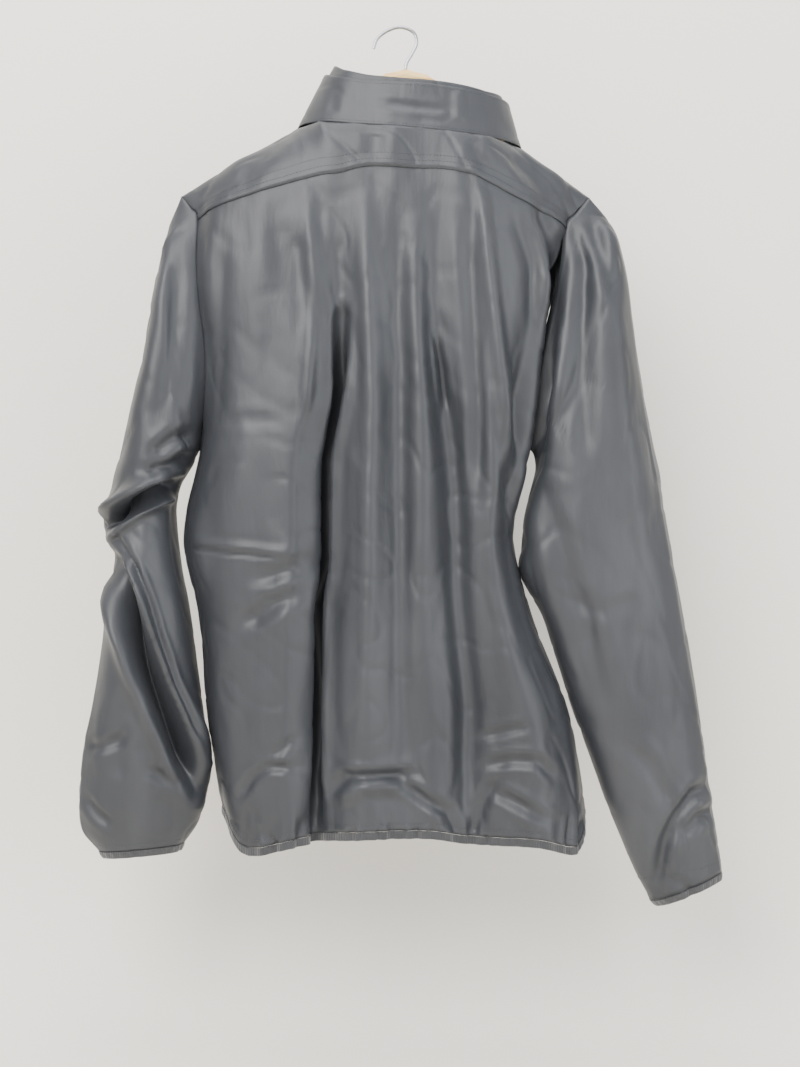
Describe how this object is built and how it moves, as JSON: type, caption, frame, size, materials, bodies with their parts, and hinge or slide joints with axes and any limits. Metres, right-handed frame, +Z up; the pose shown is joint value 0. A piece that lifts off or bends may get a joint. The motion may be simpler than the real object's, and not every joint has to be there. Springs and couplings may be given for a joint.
{
  "type": "rain jacket on a wooden hanger",
  "caption": "Zipped rain jacket with a stand collar, back yoke, set-in sleeves and elastic hem and cuffs, hung on a flat wooden hanger with a wire hook.",
  "frame": {"origin": "inner top of the hanger's hook, where a rod or peg carries it", "axes": "+Z up along the hang, -Y the way the chest faces, +X towards the wearer's left"},
  "size_m": [0.6325, 0.1253, 0.865],
  "materials": {
    "jacket_cloth": "satin coated nylon",
    "elastic_binding": "matte ribbed elastic",
    "zip_tape": "matte woven tape",
    "zip_metal": "satin",
    "hanger_wood": "clear lacquer",
    "hook_wire": "satin"
  },
  "bodies": {
    "jacket": {"hanger_wood": "hanger_wood", "hanger_hook": "hook_wire", "back_yoke": "jacket_cloth", "back_panel": "jacket_cloth", "front_left": "jacket_cloth", "front_right": "jacket_cloth", "sleeve_left": "jacket_cloth", "sleeve_right": "jacket_cloth", "cuff_binding_left": "elastic_binding", "cuff_binding_right": "elastic_binding", "hem_binding": "elastic_binding", "collar_outer": "jacket_cloth", "collar_inner": "jacket_cloth", "zip_tape_left": "zip_tape", "zip_tape_right": "zip_tape", "zip_slider": "zip_metal"},
    "pull_tab": {"zip_pull": "zip_metal"}
  },
  "joints": [
    {"name": "pull_hinge", "type": "hinge", "parent": "jacket", "child": "pull_tab", "pos_m": [-0.007, -0.0596, -0.121], "axis": [-1, 0, 0], "range_deg": [0, 150]}
  ]
}
